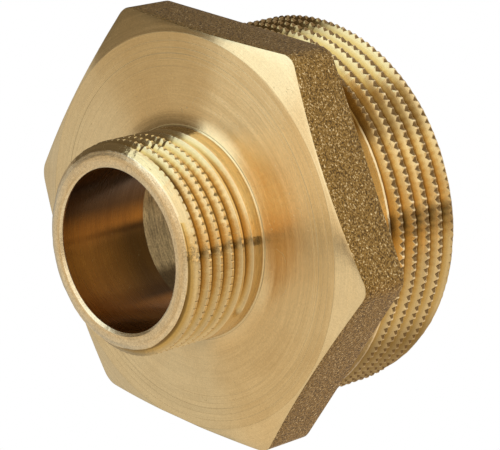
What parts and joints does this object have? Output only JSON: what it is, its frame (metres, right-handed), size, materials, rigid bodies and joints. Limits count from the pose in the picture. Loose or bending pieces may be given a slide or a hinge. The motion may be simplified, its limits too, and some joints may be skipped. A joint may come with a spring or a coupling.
{
  "type": "hexagon reducing nipple",
  "caption": "Brass pipe fitting that joins a wide pipe thread to a narrow one, with a hexagon for a spanner and a stepped bore right through.",
  "frame": {"origin": "middle of the large end face, which it stands on", "axes": "+Z along the bore from the large end to the small end; -Y and +Y are the normals of two flats of the hexagon, and two of its corners lie on X"},
  "size_m": [0.057, 0.05, 0.035],
  "materials": {
    "brass": "turned brass on the faces, threads and bore, grit-blasted brass on the flats of the hexagon"
  },
  "bodies": {
    "root": {"nipple_body": "brass"}
  },
  "joints": []
}
